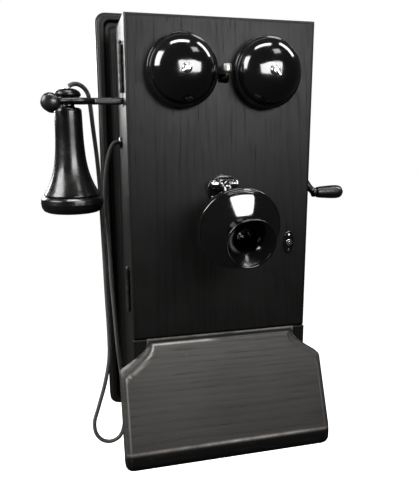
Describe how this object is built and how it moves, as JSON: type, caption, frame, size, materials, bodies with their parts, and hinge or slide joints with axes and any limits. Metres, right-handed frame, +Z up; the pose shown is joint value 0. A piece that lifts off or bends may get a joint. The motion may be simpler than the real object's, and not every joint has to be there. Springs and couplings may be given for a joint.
{
  "type": "wall crank telephone",
  "caption": "Wooden wall telephone: gongs and tilting transmitter on a hinged door, receiver on a switch hook, sloping writing shelf and a hand-cranked generator.",
  "frame": {"origin": "centre of the backboard's flat rear face, which lies against the wall", "axes": "+X to the right of someone facing the telephone, +Y into the wall, +Z up"},
  "size_m": [0.399, 0.2612, 0.559],
  "materials": {
    "dark_oak": "satin varnish over dark stain, open straight grain",
    "shelf_oak": "satin varnish, grain across the width, worn paler on its arrises",
    "inner_wood": "bare planed wood",
    "brass": "brushed, slightly dulled",
    "hinge_iron": "black-lacquered steel, lacquer rubbed on the knuckles",
    "black_nickel": "mirror-polished black nickel",
    "nickel": "polished nickel plate",
    "japan_black": "gloss black japanning",
    "hard_rubber": "polished black ebonite",
    "steel": "turned",
    "soft_iron": "oiled",
    "magnet_paint": "dark enamel",
    "coil_winding": "silk-covered wire",
    "cell_paper": "waxed paper jacket",
    "ebonite_block": "matt ebonite",
    "cord_braid": "braided cotton over flexible conductors"
  },
  "bodies": {
    "case": {"backboard": "dark_oak", "left_side": "dark_oak", "right_side": "dark_oak", "top_board": "dark_oak", "bottom_board": "dark_oak", "lower_front_panel": "dark_oak", "generator_shelf": "inner_wood", "writing_shelf": "shelf_oak", "hinge_case_leaf_upper": "hinge_iron", "hinge_pin_upper": "hinge_iron", "hinge_case_leaf_lower": "hinge_iron", "hinge_pin_lower": "hinge_iron", "lock_strike": "brass", "crank_bush": "black_nickel", "generator_end_left": "brass", "generator_end_right": "brass", "generator_magnet_1": "magnet_paint", "generator_magnet_2": "magnet_paint", "dry_cell_left": "cell_paper", "dry_cell_right": "cell_paper", "induction_coil": "coil_winding", "terminal_block": "ebonite_block", "hook_bracket": "brass", "hook_pivot_pin": "steel", "contact_springs": "brass", "cord_bushing": "hard_rubber", "receiver_cord": "cord_braid"},
    "door": {"door": "dark_oak", "hinge_door_leaf_upper": "hinge_iron", "hinge_door_leaf_lower": "hinge_iron", "lock_escutcheon": "japan_black", "gong_left": "black_nickel", "gong_right": "black_nickel", "gong_stud_left": "nickel", "gong_stud_right": "nickel", "ringer_frame": "brass", "ringer_coil_left": "coil_winding", "ringer_coil_right": "coil_winding", "transmitter_bracket": "japan_black", "pivot_bolt": "nickel"},
    "lock": {"lock_barrel": "nickel"},
    "clapper": {"ringer_armature": "soft_iron", "clapper": "nickel"},
    "transmitter": {"transmitter_arm": "japan_black", "transmitter_cup": "japan_black", "transmitter_faceplate": "japan_black", "mouthpiece": "japan_black", "transmitter_diaphragm": "nickel", "carbon_button": "brass"},
    "crank": {"crank_shaft": "steel", "crank_arm": "black_nickel", "drive_gear": "brass"},
    "handle": {"crank_handle": "hard_rubber"},
    "generator_rotor": {"generator_armature": "soft_iron"},
    "hook": {"hook_lever": "black_nickel"},
    "receiver": {"ear_cap": "hard_rubber", "receiver_diaphragm": "soft_iron", "receiver_shell": "hard_rubber", "receiver_tail_cap": "hard_rubber", "receiver_magnet": "magnet_paint"}
  },
  "joints": [
    {"name": "door_hinge", "type": "hinge", "parent": "case", "child": "door", "pos_m": [-0.1126, -0.12515, 0.063], "axis": [0, 0, -1], "range_deg": [0, 95]},
    {"name": "lock_turn", "type": "hinge", "parent": "door", "child": "lock", "pos_m": [0.0845, -0.147, -0.011], "axis": [0, -1, 0], "range_deg": [0, 90]},
    {"name": "clapper_swing", "type": "hinge", "parent": "door", "child": "clapper", "pos_m": [0, -0.112, 0.182], "axis": [0, 0, 1], "range_deg": [-3.4, 3.4]},
    {"name": "transmitter_tilt", "type": "hinge", "parent": "door", "child": "transmitter", "pos_m": [0, -0.158, 0.064], "axis": [1, 0, 0], "range_deg": [-25, 15]},
    {"name": "crank_turn", "type": "hinge", "parent": "case", "child": "crank", "pos_m": [0.119, -0.072, 0.083], "axis": [1, 0, 0], "continuous": true},
    {"name": "handle_spin", "type": "hinge", "parent": "crank", "child": "handle", "pos_m": [0.17, -0.077, 0.041], "axis": [1, 0, 0], "continuous": true},
    {"name": "rotor_spin", "type": "hinge", "parent": "case", "child": "generator_rotor", "pos_m": [0, -0.072, 0.03765], "axis": [1, 0, 0], "continuous": true},
    {"name": "receiver_lift", "type": "slide", "parent": "case", "child": "receiver", "axis": [-0.94, 0, 0.3412], "range_m": [0, 0.08], "deforming": ["receiver_cord"]},
    {"name": "hook_swing", "type": "hinge", "parent": "case", "child": "hook", "pos_m": [-0.08, -0.112, 0.157], "axis": [0, 1, 0], "range_deg": [0, 12]}
  ],
  "couplings": [
    {"joint": "rotor_spin", "follows": "crank_turn", "ratio": -4},
    {"joint": "hook_swing", "follows": "receiver_lift", "rad_per_m": 2.6}
  ]
}
